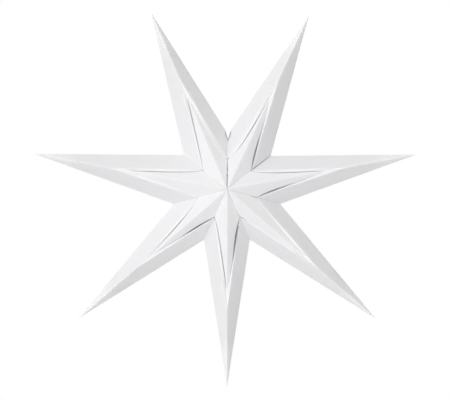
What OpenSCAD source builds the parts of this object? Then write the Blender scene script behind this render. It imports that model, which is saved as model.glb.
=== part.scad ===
// Paper star lampshade with seven folded points and a cut inner star on each side.
// Each point is one die-cut sheet. It is worked out in its own frame: x runs out along
// the ridge, y runs sideways and z is the height in front of the star's middle plane.
// The star then stands upright, with its front towards -Y and the cord notch at the origin.

/* [Star] */
// Radius from the star's axis to the tip of a point
tip_radius = 306; // [270:1:400]
// Radius of the inner corners of the outline
valley_radius = 86.5; // [76:0.5:110]
// Height that the outer folds would reach on the axis, measured from the middle plane
ridge_rise = 78; // [62:1:100]
// Thickness of the paper
paper = 0.4; // [0.25:0.05:0.8]

/* [Inner star] */
// Radius of the tips of the inner star
kite_reach = 154; // [125:1:185]
// Length of the groove between each inner tip and the place where the outer ridge splits
groove_length = 34; // [26:1:44]
// How far the inner tips lie below the line of the outer ridge
groove_depth = 9.5; // [7:0.5:14]
// How far the middle of the inner star lies below the height of the outer folds
apex_sink = 18; // [12:1:26]
// Radius at which the slits start on the seams between the points
slit_root = 48; // [38:1:58]
// Length by which the inner star's corner stands back from the seam's outer part
slit_start = 1.5; // [1:0.1:2.5]
// Uncut width that holds each inner tip
tip_bridge = 2.4; // [1.6:0.2:4]
// Length of the small fold between the inner tip and the groove
tip_fold = 3; // [2:0.5:5]
// Opening of a slit that has sprung wide
wide_gape = 4; // [2:0.2:5]
// Opening of a slit that stayed nearly shut
narrow_gape = 0.9; // [0.6:0.1:1.6]
// Width of a shut slit
slit_kerf = 0.3; // [0.2:0.05:0.5]

/* [Pinholes] */
// Diameter of a pinhole
pin_d = 1; // [0.6:0.1:1.6]
// Distance between pinholes along a row
pin_pitch = 12.7; // [10:0.1:16]
// Distance between rows
row_pitch = 5.9; // [4:0.1:8]
// Distance from the ridge to the first row
row_start = 3.9; // [3:0.1:6]
// Radius at which the pinholes begin
pin_from = 32; // [26:1:40]
// Radius at which the pinholes end
pin_to = 104; // [80:1:120]
// Plain margin between a pinhole and the edge of its panel
pin_margin = 3; // [2:0.5:5]

/* [Seams] */
// Width of the glue tabs
tab_width = 10; // [9:0.5:13]
// Slant at the ends of the glue tabs, along the seam
tab_chamfer = 6; // [5:0.5:9]
// Radius of the pinhole left where the seven sheets meet on the axis
centre_relief = 0.3; // [0.2:0.1:0.6]
// Radius at which the tabs of the inner star begin
tab_root = 4; // [3:0.5:6]
// Thickness of the glue between two tabs
glue = 0.1; // [0.05:0.05:0.2]
// Opening of the top seam across the inner star, filled by one fastener
seam_gap = 1.6; // [1.2:0.2:2.4]

/* [Cord notch] */
// Width of the cord notch at its mouth, across the outline
notch_width = 8.4; // [7:0.2:11]
// Width of the cord notch at its widest place, where its straight flanks begin to close
notch_belly = 9; // [8:0.2:12]
// Height of that place above the inner corner of the outline
belly_rise = 2.2; // [1:0.2:4]
// Drop of the cord notch below the inner corner of the outline
notch_drop = 11; // [9:0.5:16]

/* [Fasteners] */
// Diameter of a hook or loop dot
dot_d = 8; // [6:0.5:9]
// Radius at which the dots sit on the top seam
dot_radius = 25; // [20:1:30]

/* [Sag] */
// Turn of the upper left point towards the top seam, in degrees
upper_left_lean = 2.5; // [0:0.1:4]
// Turn of the upper right point towards the top seam, in degrees
upper_right_lean = 0.5; // [0:0.1:4]
// Droop of the side points and the lower side points, in degrees
side_droop = 2.4; // [0:0.1:4]
// Reach that the right and the two upper points have lost, because their paper has relaxed
upper_slack = 4; // [0:0.5:8]
// Reach that the left point has gained
left_stretch = 2; // [0:0.5:6]
// Reach that the lower side points have gained under their own weight
lower_stretch = 3; // [0:0.5:6]
// Reach that the bottom point has gained
bottom_stretch = 4; // [0:0.5:8]

/* [Hidden] */

paper_white = [0.94, 0.94, 0.95];
dot_white = [0.88, 0.88, 0.89];

point_count = 7;
step = 360 / point_count;
// Directions of the points, counted anticlockwise from the right one, seen from the front
RIGHT = 0;
TOP_RIGHT = 1;
TOP_LEFT = 2;
LEFT = 3;
LOWER_LEFT = 4;
BOTTOM = 5;
LOWER_RIGHT = 6;
// Turn of each point from its even place, anticlockwise
lean = [-side_droop, upper_right_lean, -upper_left_lean, side_droop,
        side_droop, 0, -side_droop];
// Extra reach of each tip
relaxed = [-upper_slack, -upper_slack, -upper_slack, left_stretch,
           lower_stretch, bottom_stretch, lower_stretch];
// Opening of the slit on the anticlockwise and the clockwise side of each point, in front.
// At the back every slit has stayed shut, with only the line of the die between its edges.
gapes = [[narrow_gape, wide_gape], [narrow_gape, wide_gape], [narrow_gape, narrow_gape],
         [narrow_gape, narrow_gape], [wide_gape, narrow_gape], [wide_gape, narrow_gape],
         [narrow_gape, narrow_gape]];

apex_height = ridge_rise - apex_sink;
split_reach = kite_reach + groove_length;
root_height = ridge_rise * (1 - slit_root / valley_radius);
gap = seam_gap / 2;
// How far a cutting shape runs past what it cuts
overrun = 3;
// Height of the prisms that the panels are cut from, and width of their planes
tall = ridge_rise + overrun;
wide = 6 * tip_radius;
// How far the flaps and the tip folds are set below the edges that they run under, and
// how far they run under them
crease_set = 0.1;
crease_lap = 0.03;
fold_lap = 0.3;
// Blunting of the point where the outer ridge splits, and of the flaps' sharp ends
split_blunt = 1;
flap_start = 3;
// How far a tab stays inside the ends of its seam
tab_margin = 2;
// Where along a slit it gapes most, as the exponent of the bow, and the bow's segments
bow_bias = 0.55;
bow_steps = 6;

function direction(k) = 90 - step / 2 + step * (k - 1) + lean[(k + point_count) % point_count];
function half_turn(k, side) = side * (direction(k + side) - direction(k)) / 2;
function seam_direction(k) = (direction(k) + direction(k + 1)) / 2;
function polar(r, a) = r * [cos(a), sin(a)];
function unit(p) = p / norm(p);

// A plane is [slope along x, slope along y, height on the axis]
function plane(p, q, r) =
    let (n = cross(q - p, r - p))
    [-n.x / n.z, -n.y / n.z, (n * p) / n.z];
function height_at(s, p) = s[0] * p.x + s[1] * p.y + s[2];
function on(s, p) = [p.x, p.y, height_at(s, p)];

// Half a point, seen from the front: a is its half angle and reach the radius of its tip
function band_plane(a, reach) =
    plane([reach, 0, 0], [valley_radius * cos(a), valley_radius * sin(a), 0],
          [0, 0, ridge_rise]);
function root(a) = polar(slit_root, a);
function inner_tip_height(reach) = ridge_rise * (1 - kite_reach / reach) - groove_depth;
function kite_plane(a, reach) =
    plane([kite_reach, 0, inner_tip_height(reach)],
          [root(a).x, root(a).y, root_height], [0, 0, apex_height]);
slit_end = [kite_reach, tip_bridge / 2];
groove_start = [kite_reach + tip_fold, 0];
function flap_plane(a, reach) =
    plane([root(a).x, root(a).y, root_height],
          [split_reach, 0, ridge_rise * (1 - split_reach / reach)],
          on(kite_plane(a, reach), slit_end));
function fold_plane(a, reach) =
    plane(on(kite_plane(a, reach), [kite_reach, 0]), on(kite_plane(a, reach), slit_end),
          on(flap_plane(a, reach), groove_start));

// Edge of the inner star along a slit, which bows away from the slit by the gape
function bowed_edge(a, gape) =
    let (from = root(a), along = slit_end - from, inward = unit([along.y, -along.x]))
    [for (i = [1 : bow_steps - 1])
        let (s = i / bow_steps) from + s * along + gape * sin(180 * pow(s, bow_bias)) * inward];

// Half width of the inner star at x, without the gape
function kite_half_width(a, x) =
    x < root(a).x ? x * tan(a)
    : slit_end.y + (root(a).y - slit_end.y) * (kite_reach - x) / (kite_reach - root(a).x);

// The pinholes stand in staggered rows beside the ridge
function pin_spots(a, gape) =
    [for (row = [0 : floor(slit_root / row_pitch)])
        for (x = [pin_from + (row % 2) * pin_pitch / 2 : pin_pitch : pin_to])
            let (y = row_start + row * row_pitch)
            if (y + pin_margin + gape < kite_half_width(a, x)) [x, y]];

// The other side of a point: planes and outlines seen in the ridge as a mirror
function mirrored(s) = [s[0], -s[1], s[2]];
function flipped(line) = [for (i = [len(line) - 1 : -1 : 0]) [line[i].x, -line[i].y]];
function lowered(s, depth) = [s[0], s[1], s[2] - depth * norm([s[0], s[1], 1])];
function sunk(s) = [s[0], s[1], s[2] - crease_set];

// Outlines of half a point, anticlockwise from the ridge
function band_edge(a, reach, notched) =
    let (corner = polar(valley_radius, a),
         edge = corner + ([reach, 0] - corner) * (notch_width / 2) / (reach * sin(a)),
         belly = polar(valley_radius + belly_rise, a) + notch_belly / 2 * [sin(a), -cos(a)],
         foot = polar(valley_radius - notch_drop, a),
         split = [split_reach, 0])
    concat(notched ? [edge + overrun * unit(edge - belly), belly, foot]
                   : [polar(valley_radius + overrun, a)],
           [root(a), split + split_blunt * unit(root(a) - split)]);

function flap_edge(a) =
    let (split = [split_reach, 0],
         crease = unit(split - root(a)),
         lap = crease_lap * [-crease.y, crease.x])
    [split + lap, root(a) + flap_start * crease + lap,
     root(a) + flap_start * unit(slit_end - root(a)), slit_end + [slit_kerf, 0]];

function kite_edge(a, gape) =
    let (bow = bowed_edge(a, gape))
    concat([slit_end], [for (i = [bow_steps - 2 : -1 : 0]) bow[i]],
           [polar(slit_root - slit_start, a), polar(centre_relief, a)]);

// Everything behind a plane
module behind(s) {
    translate([0, 0, s[2]])
        rotate([0, atan(norm([s[0], s[1]])), atan2(-s[1], -s[0])])
            translate([-wide / 2, -wide / 2, -wide])
                cube(wide);
}

// A sheet folded to a ridge between two planes, with its outline as seen from the front
module ridge_sheet(left, right) {
    difference() {
        intersection() {
            linear_extrude(height = tall) children();
            behind(left);
            behind(right);
        }
        intersection() {
            behind(lowered(left, paper));
            behind(lowered(right, paper));
        }
    }
}

// A sheet folded to a groove between two planes
module groove_sheet(left, right) {
    difference() {
        intersection() {
            linear_extrude(height = tall) children();
            union() {
                behind(left);
                behind(right);
            }
        }
        behind(lowered(left, paper));
        behind(lowered(right, paper));
    }
}

// In these modules a, gape and notched hold one value for each side of the ridge
module bands(a, reach, notched) {
    ridge_sheet(band_plane(a[0], reach), mirrored(band_plane(a[1], reach)))
        polygon(concat([[reach + overrun, 0]], band_edge(a[0], reach, notched[0]),
                       flipped(band_edge(a[1], reach, notched[1]))));
}

module flaps(a, reach) {
    groove_sheet(sunk(flap_plane(a[0], reach)), mirrored(sunk(flap_plane(a[1], reach))))
        polygon(concat(flap_edge(a[0]), flipped(flap_edge(a[1]))));
}

module tip_folds(a, reach) {
    from = kite_reach - fold_lap;
    width = tip_bridge - 2 * crease_set;
    ridge_sheet(sunk(fold_plane(a[0], reach)), mirrored(sunk(fold_plane(a[1], reach))))
        translate([from, -width / 2]) square([groove_start.x + fold_lap - from, width]);
}

module kites(a, reach, gape, top_seam) {
    ridge_sheet(kite_plane(a[0], reach), mirrored(kite_plane(a[1], reach)))
        difference() {
            polygon(concat(kite_edge(a[0], gape[0]), flipped(kite_edge(a[1], gape[1]))));
            for (side = [0, 1]) mirror([0, side]) {
                for (p = pin_spots(a[side], gape[side]))
                    translate(p) circle(d = pin_d, $fn = 6);
                if (top_seam[side])
                    rotate(a[side]) translate([-gap, -gap]) square([slit_root, 2 * gap]);
            }
        }
}

// A glue tab along a panel's edge, between the radii r1 and r2. It is folded inwards at the
// distance inset from the middle of the seam, and slanted at both ends.
module tab(s, a, r1, r2, inset, chamfer1, chamfer2) {
    middle = lowered(s, paper / 2);
    seam = [for (r = [r1, r2])
               [r, height_at(middle, polar(r, a) + inset * [sin(a), -cos(a)])]];
    along = unit(seam[1] - seam[0]);
    inward = tab_width * [along.y, -along.x];
    rotate([90, 0, a]) translate([0, 0, inset])
        linear_extrude(height = paper)
            polygon([seam[0], seam[1], seam[1] - along * chamfer2 + inward,
                     seam[0] + along * chamfer1 + inward]);
}

module tabs(a, reach, top_seam) {
    outer_end = valley_radius - tab_margin - (top_seam ? notch_drop : 0);
    middle_chamfer = tab_width * valley_radius / ridge_rise;
    tab(band_plane(a, reach), a, slit_root + tab_margin, outer_end, glue / 2,
        tab_chamfer, top_seam ? tab_chamfer : middle_chamfer);
    tab(kite_plane(a, reach), a, tab_root, slit_root - slit_start - tab_margin,
        glue / 2 + (top_seam ? gap : 0), tab_chamfer, tab_chamfer);
}

module star_frame() {
    translate([-valley_radius * cos(seam_direction(TOP_RIGHT)), 0,
               -valley_radius * sin(seam_direction(TOP_RIGHT))])
        rotate([90, 0, 0]) children();
}

module point(k) {
    reach = tip_radius + relaxed[k];
    a = [half_turn(k, 1), half_turn(k, -1)];
    top_seam = [k == TOP_RIGHT, k == TOP_LEFT];
    color(paper_white)
        star_frame() rotate(direction(k))
            for (back = [0, 1]) mirror([0, 0, back]) {
                bands(a, reach, top_seam);
                flaps(a, reach);
                tip_folds(a, reach);
                kites(a, reach, back ? [slit_kerf, slit_kerf] : gapes[k], top_seam);
                for (side = [0, 1]) mirror([0, side, 0])
                    tabs(a[side], reach, top_seam[side]);
            }
}

// One half of a hook and loop fastener, on the side of the top seam that side gives
module dot(back, side) {
    drop = (apex_height - root_height) / slit_root;
    height = apex_height - drop * dot_radius - tab_width / 2 * norm([1, drop]);
    thick = gap + glue / 2;
    color(dot_white)
        star_frame() mirror([0, 0, back]) rotate([90, 0, seam_direction(TOP_RIGHT)])
            translate([dot_radius, height, side > 0 ? 0 : -thick])
                cylinder(h = thick, d = dot_d, $fn = 48);
}

module top_left_point() { point(TOP_LEFT); }
module top_right_point() { point(TOP_RIGHT); }
module left_point() { point(LEFT); }
module right_point() { point(RIGHT); }
module lower_left_point() { point(LOWER_LEFT); }
module bottom_point() { point(BOTTOM); }
module lower_right_point() { point(LOWER_RIGHT); }
module front_hook_dot() { dot(0, -1); }
module front_loop_dot() { dot(0, 1); }
module back_hook_dot() { dot(1, -1); }
module back_loop_dot() { dot(1, 1); }

top_left_point();
top_right_point();
left_point();
right_point();
lower_left_point();
bottom_point();
lower_right_point();
front_hook_dot();
front_loop_dot();
back_hook_dot();
back_loop_dot();
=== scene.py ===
"""Looks of a hanging star lampshade of folded white paper.

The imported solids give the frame. Each of the seven points is built again here as the thin
sheet that it really is: cut, pierced, creased and slightly bowed, with its tabs folded in.
All sizes are in metres, and every piece rests where its solid does.
"""

from __future__ import annotations

import logging
import math
from dataclasses import dataclass, field
from enum import IntEnum
from functools import partial

import bmesh
import bpy
from mathutils import Matrix, Vector, noise

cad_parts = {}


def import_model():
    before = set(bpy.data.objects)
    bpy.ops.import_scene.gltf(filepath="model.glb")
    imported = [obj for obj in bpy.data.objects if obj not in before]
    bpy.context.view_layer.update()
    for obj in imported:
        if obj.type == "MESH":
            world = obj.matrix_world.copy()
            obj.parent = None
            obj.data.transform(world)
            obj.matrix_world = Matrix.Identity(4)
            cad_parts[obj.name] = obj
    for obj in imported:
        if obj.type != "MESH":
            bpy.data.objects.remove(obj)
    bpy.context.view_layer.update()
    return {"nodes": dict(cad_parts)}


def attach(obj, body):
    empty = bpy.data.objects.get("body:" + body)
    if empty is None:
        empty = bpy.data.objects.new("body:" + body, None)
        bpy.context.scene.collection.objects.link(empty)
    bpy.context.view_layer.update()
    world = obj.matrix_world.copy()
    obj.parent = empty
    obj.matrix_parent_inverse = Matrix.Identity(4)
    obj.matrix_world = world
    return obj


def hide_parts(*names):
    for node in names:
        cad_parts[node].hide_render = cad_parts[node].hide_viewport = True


log = logging.getLogger("paper_star")

MM = 0.001
WHITE = (1, 1, 1, 1)


class Panel(IntEnum):
    """The panels that one sheet is folded into.

    Where panels meet, the first of them in this order sets the height of the fold.
    """

    BAND = 1
    FLAP = 2
    TIP_FOLD = 3
    KITE = 4
    TAB = 5


@dataclass(frozen=True)
class StarSizes:
    """Sizes of the star, as its solids have them."""

    valley_radius: float = 86.5 * MM
    ridge_rise: float = 78 * MM
    paper: float = 0.4 * MM
    kite_reach: float = 154 * MM
    groove_length: float = 34 * MM
    groove_depth: float = 9.5 * MM
    apex_sink: float = 18 * MM
    slit_root: float = 48 * MM
    slit_start: float = 1.5 * MM
    tip_bridge: float = 2.4 * MM
    tip_fold: float = 3 * MM
    centre_relief: float = 0.3 * MM
    notch_width: float = 8.4 * MM
    notch_belly: float = 9 * MM
    belly_rise: float = 2.2 * MM
    notch_drop: float = 11 * MM
    seam_gap: float = 1.6 * MM
    tab_width: float = 10 * MM
    pin_pitch: float = 12.7 * MM
    pin_row_pitch: float = 5.9 * MM
    pin_row_start: float = 3.9 * MM
    pin_from: float = 32 * MM
    pin_to: float = 104 * MM
    pin_margin: float = 3 * MM

    @property
    def apex_height(self) -> float:
        """Height of the inner star's middle in front of the star's middle plane."""
        return self.ridge_rise - self.apex_sink

    @property
    def root_height(self) -> float:
        """Height of the places where the slits start, on the seams."""
        return self.ridge_rise * (1 - self.slit_root / self.valley_radius)

    @property
    def split_reach(self) -> float:
        """Radius at which the outer ridge splits into the two creases."""
        return self.kite_reach + self.groove_length


@dataclass(frozen=True)
class Slope:
    """A plane given by its slopes along x and y and its height on the star's axis."""

    along_x: float
    along_y: float
    rise: float

    @classmethod
    def through(cls, p: Vector, q: Vector, r: Vector) -> "Slope":
        """Find the plane through three points.

        Args:
            p: First point.
            q: Second point.
            r: Third point.

        Returns:
            The plane that holds all three.
        """
        n = (q - p).cross(r - p)
        return cls(-n.x / n.z, -n.y / n.z, n.dot(p) / n.z)

    def height(self, x: float, y: float) -> float:
        """Height of the plane at a place in the star's middle plane."""
        return self.along_x * x + self.along_y * y + self.rise


def polar(radius: float, angle: float) -> Vector:
    """Point of the middle plane at a radius and an angle from the ridge."""
    return Vector((radius * math.cos(angle), radius * math.sin(angle), 0))


def smooth_step(t: float) -> float:
    """Ease from 0 to 1 as t runs from 0 to 1, and hold outside."""
    t = min(1.0, max(0.0, t))
    return t * t * (3 - 2 * t)


@dataclass(frozen=True)
class Slit:
    """What one slit, and the seam beside it, have done since the star was folded.

    Attributes:
        gape: How far the inner star's edge has drawn back in plan.
        sink: How far that edge has dropped.
        cover: How far the flap's free edge reaches over the inner star in plan.
        lift: How far the flap's free edge then stands above the inner star.
        line: Width of the narrow opening left all along the slit, or 0 where the flap
            lies on the inner star.
        fade: How early that opening narrows towards its ends.
        run: Share of the slit's length over which the inner star's edge has drawn back.
        band_off: How far the band's edge has come away from the seam.
        corner_off: How far the inner star's corner has come away from the seam.
    """

    gape: float = 0.0
    sink: float = 0.0
    cover: float = 0.0
    lift: float = 0.0
    line: float = 0.0
    fade: float = 0.3
    run: float = 0.62
    band_off: float = 0.0
    corner_off: float = 0.0


@dataclass(frozen=True)
class Half:
    """One half of a point, on one side of its ridge and one face of the star.

    Attributes:
        star: Sizes of the star.
        angle: Angle from the ridge to the seam.
        reach: Radius of the point's tip.
        slit: What the slit of this half has done.
        top_seam: Whether this half lies at the cord notch and the open seam below it.
        set_back: How far the inner star's edge then stands back from that seam.
        notch_short: How far the notch's flank then falls short of its full width.
    """

    star: StarSizes
    angle: float
    reach: float
    slit: Slit
    top_seam: bool = False
    set_back: float = 0.0
    notch_short: float = 0.0

    # Powers that move the middle of a bow or a gape towards the seam
    BOW_BIAS = 0.55
    GAPE_BIAS = 0.75
    SLIT_KERF = 0.3 * MM
    SINK_WIDTH = 9 * MM
    RIDGE_BULGE = 2.6 * MM
    # Shares of a band's seam at which a band that has come away is drawn
    OFF_SHARES = (0.85, 0.5, 0.12)
    # How much further out the notch ends for each length that its flank falls short
    NOTCH_SLANT = 2.0

    @property
    def tip(self) -> Vector:
        """Place of the point's tip."""
        return Vector((self.reach, 0, 0))

    @property
    def foot(self) -> Vector:
        """Place on the seam where the star's outline turns."""
        return polar(self.star.valley_radius, self.angle)

    @property
    def split(self) -> Vector:
        """Place where the outer ridge splits into the two creases."""
        return Vector((self.star.split_reach, 0, 0))

    @property
    def root(self) -> Vector:
        """Place on the seam where the slit starts."""
        return polar(self.star.slit_root, self.angle)

    @property
    def slit_end(self) -> Vector:
        """Place beside the inner tip where the slit ends."""
        return Vector((self.star.kite_reach, self.star.tip_bridge / 2, 0))

    @property
    def band(self) -> Slope:
        """Plane of the outer band."""
        return Slope.through(self.tip, self.foot, Vector((0, 0, self.star.ridge_rise)))

    @property
    def kite(self) -> Slope:
        """Plane of the inner star's panel."""
        star = self.star
        inner_tip = star.ridge_rise * (1 - star.kite_reach / self.reach) - star.groove_depth
        root = self.root
        return Slope.through(Vector((star.kite_reach, 0, inner_tip)),
                             Vector((root.x, root.y, star.root_height)),
                             Vector((0, 0, star.apex_height)))

    @property
    def flap(self) -> Slope:
        """Plane of the narrow flap between the crease and the slit."""
        star, root, end = self.star, self.root, self.slit_end
        split = star.split_reach
        return Slope.through(Vector((root.x, root.y, star.root_height)),
                             Vector((split, 0, star.ridge_rise * (1 - split / self.reach))),
                             Vector((end.x, end.y, self.kite.height(end.x, end.y))))

    @property
    def tip_fold(self) -> Slope:
        """Plane of the small fold beyond the inner tip."""
        star, end, kite = self.star, self.slit_end, self.kite
        start = star.kite_reach + star.tip_fold
        return Slope.through(Vector((star.kite_reach, 0, kite.height(star.kite_reach, 0))),
                             Vector((end.x, end.y, kite.height(end.x, end.y))),
                             Vector((start, 0, self.flap.height(start, 0))))

    @property
    def aside(self) -> Vector:
        """Unit direction in plan from the seam into this half."""
        return Vector((math.sin(self.angle), -math.cos(self.angle), 0))

    @property
    def along(self) -> Vector:
        """The slit's whole run, from the seam to its end."""
        return self.slit_end - self.root

    @property
    def inward(self) -> Vector:
        """Unit direction in plan from the slit towards the ridge."""
        return Vector((self.along.y, -self.along.x, 0)).normalized()

    def share(self, place: Vector) -> float:
        """Share of the slit's run that a place lies beside."""
        return (place - self.root).dot(self.along) / self.along.length_squared

    def bow(self, share: float) -> float:
        """Height of the bow, from 0 at the slit's ends to 1 near the seam."""
        return math.sin(math.pi * share ** self.BOW_BIAS) if 0 < share < 1 else 0.0

    def drawn_back(self, share: float) -> float:
        """How far the inner star's edge lies from the slit towards the ridge."""
        slit, back = self.slit, self.SLIT_KERF * self.bow(share)
        if slit.line > 0:
            back = (slit.cover * self.bow(share)
                    + slit.line * math.sin(math.pi * share) ** slit.fade)
        if share < slit.run:
            back += slit.gape * math.sin(math.pi * (share / slit.run) ** self.GAPE_BIAS)
        return back

    def edges(self, steps: int) -> tuple[list[Vector], list[Vector]]:
        """Places along the two edges of the slit, from the seam outwards.

        Args:
            steps: Number of stretches that each edge is divided into.

        Returns:
            The places between the ends of the flap's edge and of the inner star's edge.
        """
        shares = [i / steps for i in range(1, steps)]
        line = [self.root + s * self.along for s in shares]
        flap = [p + self.slit.cover * self.bow(s) * self.inward for s, p in zip(shares, line)]
        kite = [p + self.drawn_back(s) * self.inward for s, p in zip(shares, line)]
        return flap, kite

    def kite_height(self, place: Vector) -> float:
        """Height of the inner star's panel, which sags near its free edge."""
        away = (place - self.root).dot(self.inward) / self.SINK_WIDTH
        sag = self.slit.sink * self.bow(self.share(place)) * (1 - smooth_step(away))
        return self.kite.height(place.x, place.y) - sag

    def flap_height(self, place: Vector) -> float:
        """Height of the flap, whose free edge may lie over the inner star."""
        flat = self.flap.height(place.x, place.y)
        share = self.share(place)
        bow = self.bow(share)
        if bow == 0 or self.slit.cover == self.slit.lift == 0:
            return flat
        crease = self.split - self.root
        across = Vector((crease.y, -crease.x, 0)).normalized()
        edge = self.root + share * self.along + self.slit.cover * bow * self.inward
        width = (edge - self.root).dot(across)
        if width <= 0:
            return flat
        rest = self.flap.height(edge.x, edge.y)
        raised = self.kite.height(edge.x, edge.y) + self.slit.lift * bow
        return flat + (raised - rest) * min(1.0, (place - self.root).dot(across) / width)

    def band_height(self, place: Vector) -> float:
        """Height of the band, whose ridge bulges a little beyond the groove."""
        split, foot = self.star.split_reach, self.foot
        flat = self.band.height(place.x, place.y)
        if place.x <= split:
            return flat
        half_width = foot.y * (self.reach - place.x) / (self.reach - foot.x)
        if half_width <= 0:
            return flat
        bulge = math.sin(math.pi * (place.x - split) / (self.reach - split))
        return flat + self.RIDGE_BULGE * bulge * max(0.0, 1 - place.y / half_width)

    def height(self, panel: Panel, place: Vector) -> float:
        """Height of a panel at a place of the middle plane."""
        if panel is Panel.BAND:
            return self.band_height(place)
        if panel is Panel.FLAP:
            return self.flap_height(place)
        if panel is Panel.KITE:
            return self.kite_height(place)
        return self.tip_fold.height(place.x, place.y)

    def clear_of_folds(self, place: Vector) -> float:
        """Distance in plan from a place to the nearest fold, seam or edge of this half."""
        edge = (self.tip - self.foot).normalized()
        away = [place.y, place.dot(self.aside), edge.cross(place - self.foot).z]
        if place.x < self.star.split_reach:
            for line in (self.split - self.root, self.along):
                away.append(line.normalized().cross(place - self.root).z)
        return min(abs(d) for d in away)

    def holds_pin(self, x: float, y: float) -> bool:
        """Whether a pinhole keeps its plain margin at this place of the inner star."""
        root, end = self.root, self.slit_end
        if x < root.x:
            half_width = x * math.tan(self.angle)
        else:
            half_width = end.y + (root.y - end.y) * (end.x - x) / (end.x - root.x)
        return y + self.star.pin_margin + max(self.slit.gape, self.slit.cover) < half_width

    def beside_seam(self, radius: float, off: float = 0.0) -> Vector:
        """Place beside the seam, set back where the seam stands open.

        Args:
            radius: Distance from the star's middle along the seam.
            off: Further distance from the seam.

        Returns:
            The place in the middle plane.
        """
        return polar(radius, self.angle) + (self.set_back + off) * self.aside

    def band_edge(self) -> list[Vector]:
        """Places along the band's edge where it has come away from the seam."""
        off = self.slit.band_off
        if off == 0:
            return []
        start, run = self.star.slit_root, self.star.valley_radius - self.star.slit_root
        return [polar(start + share * run, self.angle) + off * self.aside
                for share in self.OFF_SHARES]

    def outer_corner(self) -> list[Vector]:
        """The outline's inner corner, or the three corners of the cord notch."""
        if not self.top_seam:
            return [self.foot]
        star = self.star
        share = (star.notch_width / 2) / (self.reach * math.sin(self.angle))
        mouth = self.foot + (self.tip - self.foot) * share
        belly = (polar(star.valley_radius + star.belly_rise, self.angle)
                 + (star.notch_belly / 2 - self.notch_short) * self.aside)
        end = star.valley_radius - star.notch_drop + self.NOTCH_SLANT * self.notch_short
        return [mouth, belly, polar(end, self.angle)]


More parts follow.
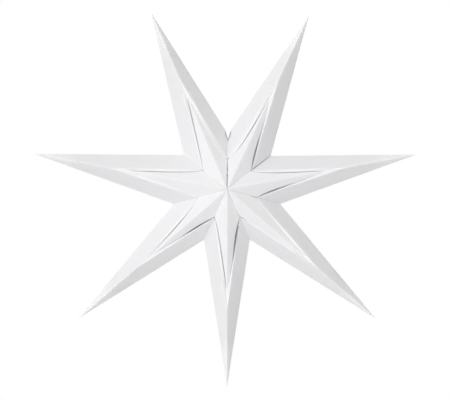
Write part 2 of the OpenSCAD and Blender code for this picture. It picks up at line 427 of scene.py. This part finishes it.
@dataclass
class PointSheet:
    """The folded sheet of one point.

    Attributes:
        name: Name of the finished piece.
        star: Sizes of the star.
        axis: Place of the star's axis in the row frame.
        direction: Direction of the ridge, anticlockwise from the right.
        front: The two halves of the front, anticlockwise side first.
        back: The two halves of the back.
        seed: Place in the noise that the paper's unevenness is read from.
    """

    name: str
    star: StarSizes
    axis: Vector
    direction: float
    front: tuple[Half, Half]
    back: tuple[Half, Half]
    seed: float = 0.0

    # Stretches along a slit, and the run over which a loose corner comes back to the seam
    EDGE_STEPS = 24
    CORNER_RUN = 14 * MM
    GRID_X = 6.35 * MM
    # The pinholes' size, the steps in each corner of one, the squares that match them to the
    # grid, and the largest area that counts as a hole, as a share of its circle
    PIN_RADIUS = 0.55 * MM
    PIN_SEGMENTS = 2
    PIN_MATCH = 0.1 * MM
    PIN_HOLE_SLACK = 1.3
    # How near its seam an edge lies to carry a tab. The tabs keep clear of the middle plane,
    # lean aside a little, and have their full width from a radius round the star's middle
    SEAM_REACH = 0.2 * MM
    TAB_CLEAR = 0.3 * MM
    TAB_SLANT = 0.15 * MM
    TAB_FULL_FROM = 6 * MM
    CREASE = 0.3 * MM
    CREASE_SEGMENTS = 2
    CREASE_FROM = math.radians(20)
    # Length of the tip where the layers close up, and the start of it over which they do so
    SOLID_TIP = 80 * MM
    SOLID_FADE = 30 * MM
    # Height of the paper's unevenness, its repeats in a metre, and how soon it fades at a fold
    UNEVEN = 0.3 * MM
    UNEVEN_SCALE = 14.0
    UNEVEN_START = 9 * MM
    CUT_MERGE = 0.0001 * MM
    ROUGH_MERGE = 0.01 * MM
    SHARP = math.radians(35)

    def build(self) -> bpy.types.Object:
        """Make the whole sheet and place it in the row frame.

        Returns:
            The finished piece, at the origin, with its place in its mesh.
        """
        bm = bmesh.new()
        for side, halves in ((1, self.front), (-1, self.back)):
            face = self._build_face(halves)
            bmesh.ops.transform(face, matrix=Matrix.Diagonal((1, 1, side, 1)),
                                verts=face.verts)
            if side < 0:
                bmesh.ops.reverse_faces(face, faces=face.faces)
            mesh = bpy.data.meshes.new("face")
            face.to_mesh(mesh)
            face.free()
            bm.from_mesh(mesh)
            bpy.data.meshes.remove(mesh)
        bmesh.ops.remove_doubles(bm, verts=bm.verts, dist=self.ROUGH_MERGE)
        self._round_creases(bm)
        turn = Matrix.Rotation(math.radians(90), 4, "X") @ Matrix.Rotation(self.direction, 4, "Z")
        bmesh.ops.transform(bm, matrix=Matrix.Translation(self.axis) @ turn, verts=bm.verts)
        bmesh.ops.solidify(bm, geom=bm.faces, thickness=self.star.paper)
        for f in bm.faces:
            f.smooth = True
        mesh = bpy.data.meshes.new(self.name)
        bm.to_mesh(mesh)
        bm.free()
        mesh.set_sharp_from_angle(angle=self.SHARP)
        piece = bpy.data.objects.new(self.name, mesh)
        bpy.context.scene.collection.objects.link(piece)
        return piece

    def _build_face(self, halves: tuple[Half, Half]) -> bmesh.types.BMesh:
        """Cut out, pierce and raise one face of the point, in its own frame.

        Args:
            halves: The anticlockwise and the clockwise half.

        Returns:
            The face, with its height along +Z.
        """
        bm = bmesh.new()
        panel = bm.faces.layers.int.new("panel")
        side = bm.faces.layers.int.new("side")
        self._lay_out(bm, panel, side, halves)
        self._score_grid(bm)
        self._pierce(bm, halves)
        self._raise_panels(bm, panel, side, halves)
        self._fold_tabs(bm, panel, side, halves)
        return bm

    def _lay_out(self, bm: bmesh.types.BMesh, panel: bmesh.types.BMLayerItem,
                 side: bmesh.types.BMLayerItem, halves: tuple[Half, Half]) -> None:
        """Draw the flat outlines of the panels, which share their fold lines.

        Args:
            bm: Mesh to draw in.
            panel: Face layer for the kind of panel.
            side: Face layer for the side of the ridge.
            halves: The two halves of this face.
        """
        star = self.star
        ridge = {name: bm.verts.new((x, 0, 0)) for name, x in (
            ("middle", star.centre_relief), ("inner_tip", star.kite_reach),
            ("groove", star.kite_reach + star.tip_fold), ("split", star.split_reach),
            ("tip", halves[0].reach))}
        for index, half in enumerate(halves):
            flip = -1 if index else 1
            place = partial(self._corner, bm, flip)
            root, end = place(half.root), place(half.slit_end)
            flap_edge, kite_edge = half.edges(self.EDGE_STEPS)
            free = [place(p) for p in flap_edge]
            edge = [place(p) for p in reversed(kite_edge)]
            corner = star.slit_root - star.slit_start
            inner = [place(half.beside_seam(corner, half.slit.corner_off)),
                     place(half.beside_seam(corner - self.CORNER_RUN))]
            middle = [ridge["middle"]]
            if half.top_seam:
                middle = [place(half.beside_seam(star.seam_gap)), ridge["middle"]]
            rim = [place(p) for p in half.outer_corner() + half.band_edge()]
            outlines = {
                Panel.BAND: [ridge["tip"]] + rim + [root, ridge["split"]],
                Panel.FLAP: [root] + free + [end, ridge["groove"], ridge["split"]],
                Panel.TIP_FOLD: [ridge["inner_tip"], ridge["groove"], end],
                Panel.KITE: [ridge["inner_tip"], end] + edge + inner + middle,
            }
            for kind, outline in outlines.items():
                f = bm.faces.new(outline if flip > 0 else outline[::-1])
                f[panel] = kind
                f[side] = index
        bmesh.ops.recalc_face_normals(bm, faces=bm.faces)
        if sum(f.normal.z for f in bm.faces) < 0:
            bmesh.ops.reverse_faces(bm, faces=bm.faces)

    @staticmethod
    def _corner(bm: bmesh.types.BMesh, flip: int, place: Vector) -> bmesh.types.BMVert:
        """Mark a corner of an outline, on one or the other side of the ridge."""
        return bm.verts.new((place.x, flip * place.y, 0))

    def _score_grid(self, bm: bmesh.types.BMesh) -> None:
        """Cut all panels along a grid, whose crossings take the pinholes and the bow."""
        star = self.star
        columns = int(self.front[0].reach / self.GRID_X)
        first = star.pin_from % self.GRID_X
        lines = [((first + i * self.GRID_X, 0, 0), (1, 0, 0)) for i in range(columns)]
        widest = star.valley_radius / 2  # More than any half of a point is wide
        for i in range(int(widest / star.pin_row_pitch)):
            y = star.pin_row_start + i * star.pin_row_pitch
            lines += [((0, y, 0), (0, 1, 0)), ((0, -y, 0), (0, 1, 0))]
        for place, normal in lines:
            geometry = bm.verts[:] + bm.edges[:] + bm.faces[:]
            bmesh.ops.bisect_plane(bm, geom=geometry, dist=self.CUT_MERGE, plane_co=place,
                                   plane_no=normal)

    def _pierce(self, bm: bmesh.types.BMesh, halves: tuple[Half, Half]) -> None:
        """Open the pinholes at the grid crossings that carry one.

        Args:
            bm: Mesh of the flat face.
            halves: The two halves of this face.
        """
        def cell(x: float, y: float) -> tuple[int, int]:
            """Small square of the sheet that a place lies in."""
            return round(x / self.PIN_MATCH), round(y / self.PIN_MATCH)

        star = self.star
        spots = set()
        rows = int(star.slit_root / star.pin_row_pitch) + 1
        for index, half in enumerate(halves):
            for row in range(rows):
                y = star.pin_row_start + row * star.pin_row_pitch
                x = star.pin_from + (row % 2) * star.pin_pitch / 2
                while x < star.pin_to:
                    if half.holds_pin(x, y):
                        spots.add(cell(x, -y if index else y))
                    x += star.pin_pitch
        panel = bm.faces.layers.int["panel"]
        chosen = [v for v in bm.verts if cell(v.co.x, v.co.y) in spots
                  and all(f[panel] == Panel.KITE for f in v.link_faces)]
        made = bmesh.ops.bevel(bm, geom=chosen, offset=self.PIN_RADIUS,
                               offset_type="OFFSET", segments=self.PIN_SEGMENTS,
                               profile=0.5, affect="VERTICES", material=-1)
        area = math.pi * self.PIN_RADIUS ** 2
        holes = [f for f in made["faces"] if f.calc_area() < self.PIN_HOLE_SLACK * area]
        bmesh.ops.delete(bm, geom=holes, context="FACES")

    def _raise_panels(self, bm: bmesh.types.BMesh, panel: bmesh.types.BMLayerItem,
                      side: bmesh.types.BMLayerItem, halves: tuple[Half, Half]) -> None:
        """Lift every place of the flat sheet to its panel's plane, with its unevenness.

        Args:
            bm: Mesh of the flat face.
            panel: Face layer for the kind of panel.
            side: Face layer for the side of the ridge.
            halves: The two halves of this face.
        """
        for v in bm.verts:
            kinds = {(f[panel], f[side]) for f in v.link_faces}
            kind, index = min(kinds)
            flat = Vector((v.co.x, abs(v.co.y), 0))
            z = halves[index].height(Panel(kind), flat)
            place = Vector((v.co.x, v.co.y, self.seed * MM)) * self.UNEVEN_SCALE
            inside = smooth_step(halves[index].clear_of_folds(flat) / self.UNEVEN_START)
            v.co.z = max(z + self.UNEVEN * inside * noise.noise(place), 0.0)

    def _fold_tabs(self, bm: bmesh.types.BMesh, panel: bmesh.types.BMLayerItem,
                   side: bmesh.types.BMLayerItem, halves: tuple[Half, Half]) -> None:
        """Extrude the glue tabs inwards from the panels' edges along the seams.

        Args:
            bm: Mesh of the raised face.
            panel: Face layer for the kind of panel.
            side: Face layer for the side of the ridge.
            halves: The two halves of this face.
        """
        for index, half in enumerate(halves):
            flip = -1 if index else 1
            normal = Vector((half.aside.x, flip * half.aside.y, 0))
            edges = [e for e in bm.edges if e.is_boundary and e.link_faces[0][side] == index
                     and self._at_seam(e, e.link_faces[0][panel], half, normal)]
            if not edges:
                continue
            made = bmesh.ops.extrude_edge_only(bm, edges=edges)["geom"]
            for f in (g for g in made if isinstance(g, bmesh.types.BMFace)):
                f[panel] = Panel.TAB
                f[side] = index
            for v in (g for g in made if isinstance(g, bmesh.types.BMVert)):
                v.co += self._tab_fold(v.co, half, normal)
        bmesh.ops.remove_doubles(bm, verts=bm.verts, dist=self.ROUGH_MERGE)

    def _at_seam(self, edge: bmesh.types.BMEdge, kind: int, half: Half,
                 normal: Vector) -> bool:
        """Whether an edge of a panel lies at the seam, where a tab is folded from it.

        Args:
            edge: Edge of one panel.
            kind: Kind of that panel.
            half: The half that it belongs to.
            normal: Unit direction in plan from the seam into this half.

        Returns:
            True where both ends lie at the seam or at the panel's place beside it.
        """
        if kind == Panel.KITE:
            away, slack = half.set_back, abs(half.slit.corner_off)
        elif kind == Panel.BAND:
            away, slack = 0.0, half.slit.band_off
        else:
            return False
        if half.top_seam and min(v.co.xy.length for v in edge.verts) < self.star.seam_gap / 2:
            return False
        return all(abs(v.co.xy.to_3d().dot(normal) - away) < slack + self.SEAM_REACH
                   for v in edge.verts)

    def _tab_fold(self, place: Vector, half: Half, normal: Vector) -> Vector:
        """How far a tab's free edge lies from the fold that it starts at.

        Args:
            place: Place on the fold.
            half: The half that the tab belongs to.
            normal: Unit direction in plan from the seam into this half.

        Returns:
            The step from the fold to the free edge.
        """
        star = self.star
        radius = place.xy.length
        on_band = radius > star.slit_root - star.slit_start / 2
        fall = star.ridge_rise / star.valley_radius
        if not on_band:
            fall = (star.apex_height - star.root_height) / star.slit_root
        inward = Vector((-fall * place.x / radius, -fall * place.y / radius, -1)).normalized()
        depth = min(star.tab_width, max(0.0, place.z - self.TAB_CLEAR))
        aside = self.TAB_SLANT * min(1.0, depth / self.TAB_SLANT)
        if not on_band:
            depth = min(depth, star.tab_width * radius / self.TAB_FULL_FROM)
            if half.top_seam:
                aside += star.seam_gap / 2 - half.set_back
        return inward * depth + normal * aside

    def _round_creases(self, bm: bmesh.types.BMesh) -> None:
        """Give every fold the small radius that creased paper has, and mark it as worn.

        The tips are marked too, where the layers lie close and let no light through; the same
        mark also paints shade on the tips.

        Args:
            bm: Mesh of the whole sheet.
        """
        panel = bm.faces.layers.int["panel"]
        side = bm.faces.layers.int["side"]
        wear = bm.verts.layers.float.new("fold")
        # Mask of the tips: it stops light passing through, and it also paints shade there
        closed_and_shaded = bm.verts.layers.float.new("closed_and_shaded")
        solid_from = self.front[0].reach - self.SOLID_TIP
        folds = []
        for e in bm.edges:
            if len(e.link_faces) != 2:
                continue
            one, other = e.link_faces
            if (one[panel], one[side]) != (other[panel], other[side]):
                folds.append(e)
            elif e.calc_face_angle(0.0) > self.CREASE_FROM:
                folds.append(e)
        made = bmesh.ops.bevel(bm, geom=folds, offset=self.CREASE, offset_type="OFFSET",
                               segments=self.CREASE_SEGMENTS, profile=0.5, affect="EDGES",
                               clamp_overlap=True, material=-1)
        for v in made["verts"]:
            v[wear] = 1.0
        for v in bm.verts:
            v[closed_and_shaded] = smooth_step((v.co.x - solid_from) / self.SOLID_FADE)


@dataclass(frozen=True)
class Sock:
    """A shader socket with arithmetic, so that shader maths reads as an expression."""

    tree: bpy.types.NodeTree
    out: bpy.types.NodeSocket

    def _math(self, operation: str, other: "Sock | float", swap: bool = False) -> "Sock":
        """Add a Math node that joins this socket and another value."""
        pair = (other, self) if swap else (self, other)
        return Shader(self.tree).math(operation, *pair)

    def __add__(self, other: "Sock | float") -> "Sock":
        """Sum of two values."""
        return self._math("ADD", other)

    __radd__ = __add__

    def __mul__(self, other: "Sock | float") -> "Sock":
        """Product of two values."""
        return self._math("MULTIPLY", other)

    __rmul__ = __mul__

    def __sub__(self, other: "Sock | float") -> "Sock":
        """Difference of two values."""
        return self._math("SUBTRACT", other)

    def __rsub__(self, other: "Sock | float") -> "Sock":
        """Difference with the plain value first."""
        return self._math("SUBTRACT", other, swap=True)


@dataclass(frozen=True)
class Shader:
    """Maker of shader nodes in one tree."""

    tree: bpy.types.NodeTree

    def node(self, kind: str, settings: dict | None = None,
             values: dict | None = None) -> bpy.types.Node:
        """Add a node.

        Args:
            kind: The node's type.
            settings: Properties of the node, set before its sockets.
            values: Values or links of its input sockets, by name or number.

        Returns:
            The new node.
        """
        made = self.tree.nodes.new(kind)
        for name, value in (settings or {}).items():
            setattr(made, name, value)
        for name, value in (values or {}).items():
            if isinstance(value, Sock):
                self.tree.links.new(value.out, made.inputs[name])
            elif isinstance(value, bpy.types.NodeSocket):
                self.tree.links.new(value, made.inputs[name])
            else:
                made.inputs[name].default_value = value
        return made

    def sock(self, node: bpy.types.Node, name: str | int = 0) -> Sock:
        """Wrap one output of a node."""
        return Sock(self.tree, node.outputs[name])

    def math(self, operation: str, *values: "Sock | float") -> Sock:
        """Add a Math node.

        Args:
            operation: The operation's name.
            values: Its values or links, in order.

        Returns:
            Its result.
        """
        made = self.node("ShaderNodeMath", {"operation": operation}, dict(enumerate(values)))
        return self.sock(made)

    def mix(self, share: "Sock | float", first: "Sock | tuple", second: "Sock | tuple") -> Sock:
        """Mix two colours by a share.

        Args:
            share: 0 for the first colour and 1 for the second.
            first: First colour.
            second: Second colour.

        Returns:
            The mixed colour.
        """
        made = self.node("ShaderNodeMix", {"data_type": "RGBA"}, {0: share, 6: first, 7: second})
        return self.sock(made, 2)

    def noise(self, place: Sock, scale: float, detail: float, roughness: float = 0.5) -> Sock:
        """Read a noise pattern.

        Args:
            place: Coordinates.
            scale: Repeats in a metre.
            detail: Octaves.
            roughness: Strength of the finer octaves.

        Returns:
            The pattern, from 0 to 1.
        """
        made = self.node("ShaderNodeTexNoise", {},
                         {"Vector": place, "Scale": scale, "Detail": detail,
                          "Roughness": roughness})
        return self.sock(made, "Fac")

    def attribute(self, name: str) -> Sock:
        """Read a value that the mesh carries at its vertices."""
        return self.sock(self.node("ShaderNodeAttribute", {"attribute_name": name}), "Fac")

    def surface(self, last: bpy.types.Node) -> None:
        """Lead the last shader of a material to its output."""
        self.node("ShaderNodeOutputMaterial", {}, {"Surface": last.outputs[0]})


def new_material(name: str) -> tuple[bpy.types.Material, Shader]:
    """Make an empty material.

    Args:
        name: Name of the material.

    Returns:
        The material, and the maker of its nodes.
    """
    made = bpy.data.materials.new(name)
    made.use_nodes = True
    made.node_tree.nodes.clear()
    return made, Shader(made.node_tree)


@dataclass(frozen=True)
class PaperFinish:
    """Heavy uncoated white paper that lets some light through.

    Attributes:
        name: Name of the material.
        clean: Colour of the paper.
        dull: Colour of its slightly darker clouds.
        worn: Colour along the creases.
        painted_tip_shade: Darker colour near the tips, where the layers lie close; it is painted
            shade.
        roughness: Roughness of the surface.
        specular: Strength of its reflection.
        through: Share of the light that passes through.
        cloud_scale: Repeats of the clouds in a metre.
        cloud_share: How much of the colour's change is clouds, the rest being fibres.
        fibre_scale: Repeats of the fibres in a metre.
        fibre_stretch: Scale of the fibres along each axis.
        fibre_share: How much of the surface's height is fibres, the rest being grain.
        fibre_height: Height of the fibres.
        grain_scale: Repeats of the grain in a metre.
        relief: Strength of that height.
        painted_tip_shade_share: How much of that painted shade shows at the tips.
        worn_share: How much of the worn colour shows along the creases.
    """

    name: str = "white_paper"
    clean: tuple = (0.940, 0.940, 0.950, 1)
    dull: tuple = (0.922, 0.922, 0.934, 1)
    worn: tuple = (0.950, 0.950, 0.955, 1)
    # Painted shade: a darker colour for the tips
    painted_tip_shade: tuple = (0.885, 0.885, 0.896, 1)
    roughness: float = 0.78
    specular: float = 0.35
    through: float = 0.12
    cloud_scale: float = 38.0
    cloud_share: float = 0.8
    fibre_scale: float = 1500.0
    fibre_stretch: tuple = (1.0, 1.0, 0.35)
    fibre_share: float = 0.6
    fibre_height: float = 0.04 * MM
    grain_scale: float = 375.0
    relief: float = 0.35
    painted_tip_shade_share: float = 0.85
    worn_share: float = 0.6

    def material(self) -> bpy.types.Material:
        """Make the material.

        Returns:
            The material, with its pattern in object coordinates.
        """
        made, shader = new_material(self.name)
        place = shader.sock(shader.node("ShaderNodeTexCoord"), "Object")
        laid = shader.sock(shader.node("ShaderNodeMapping", {},
                                       {"Vector": place, "Scale": self.fibre_stretch}))
        clouds = shader.noise(place, self.cloud_scale, detail=4.0)
        fibres = shader.noise(laid, self.fibre_scale, detail=5.0, roughness=0.7)
        grain = shader.noise(place, self.grain_scale, detail=3.0, roughness=0.6)
        fold, closed_and_shaded = shader.attribute("fold"), shader.attribute("closed_and_shaded")
        clouded = clouds * self.cloud_share + fibres * (1 - self.cloud_share)
        colour = shader.mix(clouded, self.clean, self.dull)
        # Painted shade: the colour darkens near the tips
        colour = shader.mix(closed_and_shaded * self.painted_tip_shade_share, colour, self.painted_tip_shade)
        colour = shader.mix(fold * self.worn_share, colour, self.worn)
        height = fibres * self.fibre_share + grain * (1 - self.fibre_share)
        bump = shader.node("ShaderNodeBump", {},
                           {"Strength": self.relief, "Distance": self.fibre_height,
                            "Height": height})
        face = shader.node("ShaderNodeBsdfPrincipled", {},
                           {"Base Color": colour, "Roughness": self.roughness,
                            "Specular IOR Level": self.specular, "Normal": shader.sock(bump)})
        glow = shader.node("ShaderNodeBsdfTranslucent", {}, {"Color": colour})
        both = shader.node("ShaderNodeMixShader", {},
                           {0: (1 - closed_and_shaded) * self.through,
                            1: face.outputs[0], 2: glow.outputs[0]})
        shader.surface(both)
        return made


@dataclass(frozen=True)
class PileFinish:
    """Short nylon pile of the hook and loop dots.

    Attributes:
        name: Name of the material.
        light: Colour of the loops' tops.
        shade_between_loops: Darker colour between the loops, painted shade.
        roughness: Roughness of the pile.
        pile_scale: Loops in a metre.
        pile_height: Height of the loops.
        relief: Strength of that height.
    """

    name: str = "nylon_pile"
    light: tuple = (0.80, 0.80, 0.81, 1)
    # Painted shade between the loops
    shade_between_loops: tuple = (0.52, 0.52, 0.54, 1)
    roughness: float = 0.9
    pile_scale: float = 2600.0
    pile_height: float = 0.25 * MM
    relief: float = 0.8

    def material(self) -> bpy.types.Material:
        """Make the material.

        Returns:
            The material, with loops as small cells.
        """
        made, shader = new_material(self.name)
        place = shader.sock(shader.node("ShaderNodeTexCoord"), "Object")
        loops = shader.sock(shader.node("ShaderNodeTexVoronoi", {},
                                        {"Vector": place, "Scale": self.pile_scale}),
                            "Distance")
        # Painted shade: the colour darkens from the loops' tops to between them
        colour = shader.mix(loops, self.light, self.shade_between_loops)
        bump = shader.node("ShaderNodeBump", {},
                           {"Strength": self.relief, "Distance": self.pile_height,
                            "Height": 1 - loops})
        face = shader.node("ShaderNodeBsdfPrincipled", {},
                           {"Base Color": colour, "Roughness": self.roughness,
                            "Normal": shader.sock(bump)})
        shader.surface(face)
        return made


@dataclass
class Star:
    """The whole star: seven sheets and the fasteners of the top seam.

    Attributes:
        nodes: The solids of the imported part, by name.
        sizes: Sizes of the star.
        paper: Finish of the sheets.
        pile: Finish of the fasteners.
    """

    nodes: dict
    sizes: StarSizes = field(default_factory=StarSizes)
    paper: PaperFinish = field(default_factory=PaperFinish)
    pile: PileFinish = field(default_factory=PileFinish)

    # The points anticlockwise from the right one, each with the slit on its anticlockwise
    # side and the slit on its clockwise side
    POINTS = (
        ("right_point",
         Slit(cover=3.0 * MM, lift=1.0 * MM, line=0.85 * MM),
         Slit(gape=1.9 * MM, sink=1.4 * MM)),
        ("top_right_point",
         Slit(cover=5.0 * MM, lift=1.2 * MM, line=1.1 * MM, fade=1.0,
              corner_off=-0.6 * MM),
         Slit(gape=2.2 * MM, sink=1.8 * MM, band_off=0.9 * MM)),
        ("top_left_point",
         Slit(cover=0.3 * MM, lift=0.6 * MM, line=1.2 * MM),
         Slit(cover=4.8 * MM, lift=0.6 * MM, corner_off=-0.6 * MM)),
        ("left_point",
         Slit(cover=2.2 * MM, lift=0.6 * MM),
         Slit(cover=2.2 * MM, lift=1.0 * MM, line=0.85 * MM)),
        ("lower_left_point",
         Slit(gape=2.0 * MM, sink=1.4 * MM),
         Slit(cover=3.0 * MM, lift=1.0 * MM, line=1.0 * MM, fade=1.0)),
        ("bottom_point",
         Slit(gape=2.0 * MM, sink=1.6 * MM, cover=-0.6 * MM, lift=-1.0 * MM),
         Slit(cover=1.4 * MM, lift=1.0 * MM, line=1.0 * MM)),
        ("lower_right_point",
         Slit(cover=1.8 * MM, lift=0.6 * MM, corner_off=0.7 * MM),
         Slit(gape=1.7 * MM, run=0.15, cover=1.5 * MM, lift=0.6 * MM, corner_off=0.5 * MM)),
    )
    FASTENERS = ("front_hook_dot", "front_loop_dot", "back_hook_dot", "back_loop_dot")
    # Places in POINTS of the two points beside the cord notch
    TOP = (1, 2)
    AXIS_ROUNDS = 4
    BACK_SEAM = 0.3 * MM
    NOTCH_SHORT = 1.4 * MM
    SEED_STEP = 97.0

    @property
    def axis(self) -> Vector:
        """Place of the star's axis, which lies under the notch along the top seam."""
        place = Vector((0, 0, -self.sizes.valley_radius))
        for _ in range(self.AXIS_ROUNDS):
            middle = sum(self._tip(self.POINTS[i][0], place)[1] for i in self.TOP) / 2
            place = Vector((-math.cos(middle), 0, -math.sin(middle))) * self.sizes.valley_radius
        return place

    def _tip(self, node: str, axis: Vector) -> tuple[float, float]:
        """Radius and direction of a point's tip, read from its solid.

        Args:
            node: Name of the solid.
            axis: Place of the star's axis.

        Returns:
            The radius in metres, and the direction anticlockwise from the right.
        """
        far = max((v.co - axis for v in self.nodes[node].data.vertices),
                  key=lambda d: d.x * d.x + d.z * d.z)
        return math.hypot(far.x, far.z), math.atan2(far.z, far.x) % (2 * math.pi)

    def build(self) -> None:
        """Make the seven sheets and dress the fasteners."""
        axis = self.axis
        tips = [self._tip(name, axis) for name, _, _ in self.POINTS]
        paper = self.paper.material()
        for k, (node, left_slit, right_slit) in enumerate(self.POINTS):
            reach, direction = tips[k]
            ahead = (tips[(k + 1) % len(tips)][1] - direction) % (2 * math.pi) / 2
            behind = (direction - tips[k - 1][1]) % (2 * math.pi) / 2
            front, back = [], []
            for angle, slit, top in ((ahead, left_slit, k == self.TOP[0]),
                                     (behind, right_slit, k == self.TOP[1])):
                front.append(Half(self.sizes, angle, reach, slit, top,
                                  self.sizes.seam_gap / 2 if top else 0.0))
                back.append(Half(self.sizes, angle, reach, Slit(), top,
                                 self.BACK_SEAM / 2 if top else 0.0,
                                 self.NOTCH_SHORT if top else 0.0))
            sheet = PointSheet(node.replace("_point", "_sheet"), self.sizes, axis, direction,
                               tuple(front), tuple(back), seed=self.SEED_STEP * k)
            piece = sheet.build()
            piece.data.materials.append(paper)
            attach(piece, "root")
            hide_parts(node)
            log.info("%s: %d faces", piece.name, len(piece.data.polygons))
        self._dress_fasteners()

    def _dress_fasteners(self) -> None:
        """Give the hook and loop dots their pile."""
        pile = self.pile.material()
        for name in self.FASTENERS:
            dot = self.nodes[name]
            dot.data.materials.clear()
            dot.data.materials.append(pile)


@dataclass(frozen=True)
class SoftLight:
    """One wide bright place round the star, like a window or a pale wall.

    Attributes:
        direction: Where it lies, seen from the star.
        strength: How bright its middle is.
        spread: How narrow it is, as a power of the cosine.
    """

    direction: tuple
    strength: float
    spread: float


@dataclass(frozen=True)
class Studio:
    """Plain soft light, a pale floor and the camera in front of the hanging star.

    Attributes:
        camera_distance: Distance of the camera from the star's middle plane.
        view_width: Width of the view at the star.
        view_centre: Place that the camera looks at, along x and z.
        sensor: Width of the camera's sensor, in millimetres.
        far_end: Distance at which the camera's view ends.
        sky: Strength of the even light from all sides.
        lights: Brighter places in that light: a window in front, and a wall behind.
        floor_drop: How far below the notch the floor lies.
        floor_size: Width of the floor.
        floor_colour: Colour of the floor.
        floor_roughness: Roughness of the floor.
        floor_glow: Strength of the white that only the camera sees on the floor.
    """

    camera_distance: float = 4.0
    view_width: float = 0.7068
    view_centre: tuple = (-4.65 * MM, -103 * MM)
    sensor: float = 36.0
    far_end: float = 50.0
    sky: float = 0.545
    lights: tuple = (SoftLight((-0.32, -0.93, 0.19), 2.68, 8.0),
                     SoftLight((-0.40, 0.85, 0.35), 1.3, 6.0))
    floor_drop: float = 1.6
    floor_size: float = 6.0
    floor_colour: tuple = (0.9, 0.9, 0.9, 1)
    floor_roughness: float = 0.9
    floor_glow: float = 0.4

    def build(self) -> None:
        """Make the camera, the light and the floor."""
        self._camera()
        self._world()
        self._floor()
        bpy.context.scene.view_settings.view_transform = "Standard"

    def _camera(self) -> None:
        """Place the camera level with the star, as in the photograph."""
        data = bpy.data.cameras.new("camera")
        data.sensor_width = self.sensor
        data.lens = self.sensor * self.camera_distance / self.view_width
        data.clip_end = self.far_end
        camera = bpy.data.objects.new("camera", data)
        x, z = self.view_centre
        camera.location = (x, -self.camera_distance, z)
        camera.rotation_euler = (math.radians(90), 0, 0)
        bpy.context.scene.collection.objects.link(camera)
        bpy.context.scene.camera = camera

    def _world(self) -> None:
        """White to the camera and in reflections, and soft light for everything else."""
        world = bpy.data.worlds.new("world")
        bpy.context.scene.world = world
        world.use_nodes = True
        world.node_tree.nodes.clear()
        shader = Shader(world.node_tree)
        rays = shader.node("ShaderNodeLightPath")
        seen = shader.math("MAXIMUM", shader.sock(rays, "Is Camera Ray"),
                           shader.math("MAXIMUM", shader.sock(rays, "Is Glossy Ray"),
                                       shader.sock(rays, "Is Transmission Ray")))
        place = shader.sock(shader.node("ShaderNodeTexCoord"), "Generated")
        cast = self.sky
        for light in self.lights:
            towards = shader.node("ShaderNodeVectorMath", {"operation": "DOT_PRODUCT"},
                                  {0: place, 1: Vector(light.direction).normalized()})
            facing = shader.math("MAXIMUM", shader.sock(towards, "Value"), 0.0)
            cast = shader.math("POWER", facing, light.spread) * light.strength + cast
        shine = shader.node("ShaderNodeBackground", {},
                            {"Color": WHITE, "Strength": seen + (1 - seen) * cast})
        shader.node("ShaderNodeOutputWorld", {}, {"Surface": shine.outputs[0]})

    def _floor(self) -> None:
        """Lay a pale floor well below the star."""
        bm = bmesh.new()
        bmesh.ops.create_grid(bm, x_segments=1, y_segments=1, size=self.floor_size / 2)
        bmesh.ops.translate(bm, vec=(0, 0, -self.floor_drop), verts=bm.verts)
        mesh = bpy.data.meshes.new("floor")
        bm.to_mesh(mesh)
        bm.free()
        floor = bpy.data.objects.new("floor", mesh)
        bpy.context.scene.collection.objects.link(floor)
        made, shader = new_material("floor")
        plain = shader.node("ShaderNodeBsdfPrincipled", {},
                            {"Base Color": self.floor_colour,
                             "Roughness": self.floor_roughness})
        seen = shader.sock(shader.node("ShaderNodeLightPath"), "Is Camera Ray")
        glow = shader.node("ShaderNodeEmission", {},
                           {"Color": WHITE, "Strength": seen * self.floor_glow})
        both = shader.node("ShaderNodeAddShader", {}, {0: plain.outputs[0], 1: glow.outputs[0]})
        shader.surface(both)
        mesh.materials.append(made)


def main() -> None:
    """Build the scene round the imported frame."""
    logging.basicConfig(level=logging.INFO, format="%(name)s: %(message)s")
    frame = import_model()
    Studio().build()
    Star(frame["nodes"]).build()


if __name__ == "__main__":
    main()
